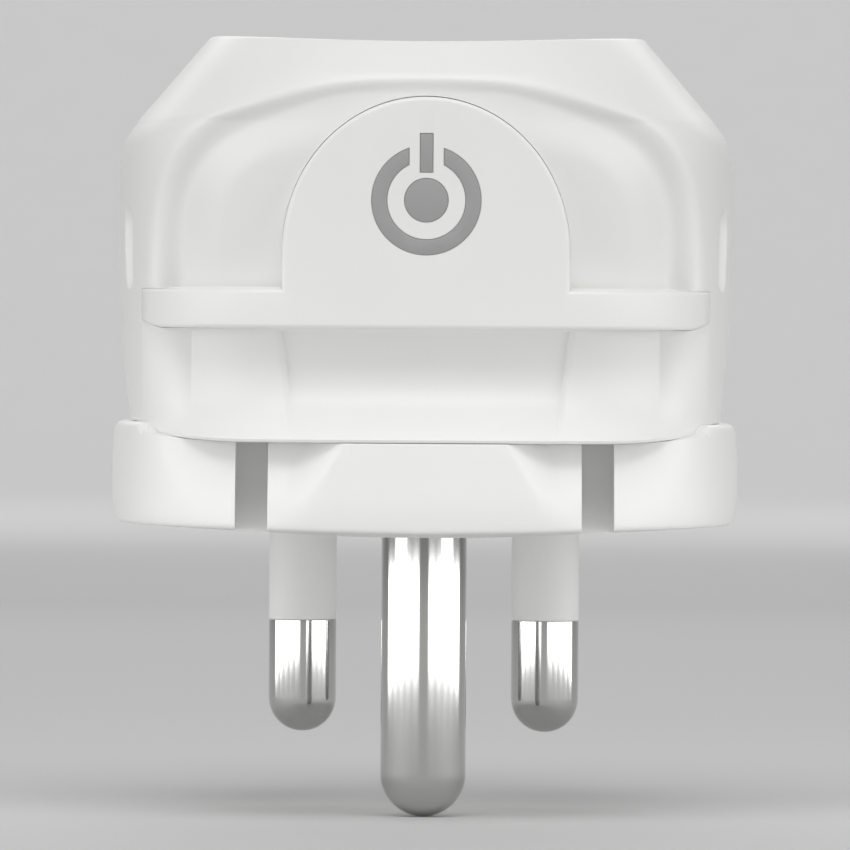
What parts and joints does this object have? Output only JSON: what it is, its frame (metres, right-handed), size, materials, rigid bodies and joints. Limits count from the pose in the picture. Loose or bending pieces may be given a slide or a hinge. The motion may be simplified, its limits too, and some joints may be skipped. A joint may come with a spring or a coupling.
{
  "type": "plug in power meter",
  "caption": "Pass-through three-pin mains plug with a power meter inside: round pins below, shuttered socket on top, a press plate with a lit power symbol in front, and a finger grip below it.",
  "frame": {"origin": "on the engagement face, the flat underside that meets a wall socket, on the plug's middle plane, 17 mm behind the earth pin's axis", "axes": "+Z from the pins towards the socket face, -Y towards the side with the press plate, +X to the right seen from that side"},
  "size_m": [0.0644, 0.0645, 0.0796],
  "materials": {
    "shell": "satin moulded white",
    "press_plate": "satin moulded white",
    "symbol": "smooth translucent grey",
    "pin_metal": "bright nickel plate",
    "sleeve": "matt white",
    "steel": "plain",
    "brass": "plain",
    "copper_strap": "plain",
    "inner_plastic": "matt grey",
    "board": "satin green",
    "dark_part": "matt black",
    "relay": "matt dark blue",
    "capacitor": "satin sleeve",
    "yellow_part": "matt yellow",
    "blue_part": "matt blue",
    "ceramic": "matt ceramic",
    "shield": "plain",
    "lamp": "clear lens",
    "shutter": "matt white"
  },
  "bodies": {
    "plug": {"plug_base": "shell", "housing": "shell", "pivot_rod": "steel", "socket_insert": "shell", "shutter_spring": "steel", "earth_pin": "pin_metal", "live_pin": "pin_metal", "neutral_pin": "pin_metal", "live_pin_sleeve": "sleeve", "neutral_pin_sleeve": "sleeve", "pin_clamp": "inner_plastic", "clamp_screws": "steel", "case_screws": "steel", "contact_carrier": "inner_plastic", "earth_contact": "brass", "live_contact": "brass", "neutral_contact": "brass", "main_board": "board", "relay_case": "relay", "transformer_core": "dark_part", "transformer_bobbin": "yellow_part", "bulk_capacitors": "capacitor", "output_capacitor": "capacitor", "film_capacitor": "yellow_part", "varistor": "blue_part", "fuse": "ceramic", "current_shunt": "copper_strap", "metering_chip": "dark_part", "bridge_rectifier": "dark_part", "radio_board": "board", "radio_shield": "shield", "button_board": "board", "switch_body": "dark_part", "status_led": "lamp", "earth_strap": "copper_strap", "live_strap": "copper_strap", "neutral_strap": "copper_strap"},
    "press_plate": {"front_plate": "press_plate", "light_guide": "symbol"},
    "shutter_slide": {"shutter": "shutter"},
    "plunger": {"switch_plunger": "ceramic"}
  },
  "joints": [
    {"name": "press_plate_tilt", "type": "hinge", "parent": "plug", "child": "press_plate", "pos_m": [0, -0.0264, 0.0232], "axis": [-1, 0, 0], "range_deg": [0, 1.2], "stiffness_Nm_per_rad": 0.6},
    {"name": "switch_press", "type": "slide", "parent": "plug", "child": "plunger", "axis": [0, 1, 0], "range_m": [0, 0.0001738]},
    {"name": "shutter_open", "type": "slide", "parent": "plug", "child": "shutter_slide", "axis": [0, 1, 0], "range_m": [0, 0.0082], "stiffness_N_per_m": 80, "deforming": ["shutter_spring"]}
  ],
  "couplings": [
    {"joint": "switch_press", "follows": "press_plate_tilt", "m_per_rad": 0.0083}
  ]
}
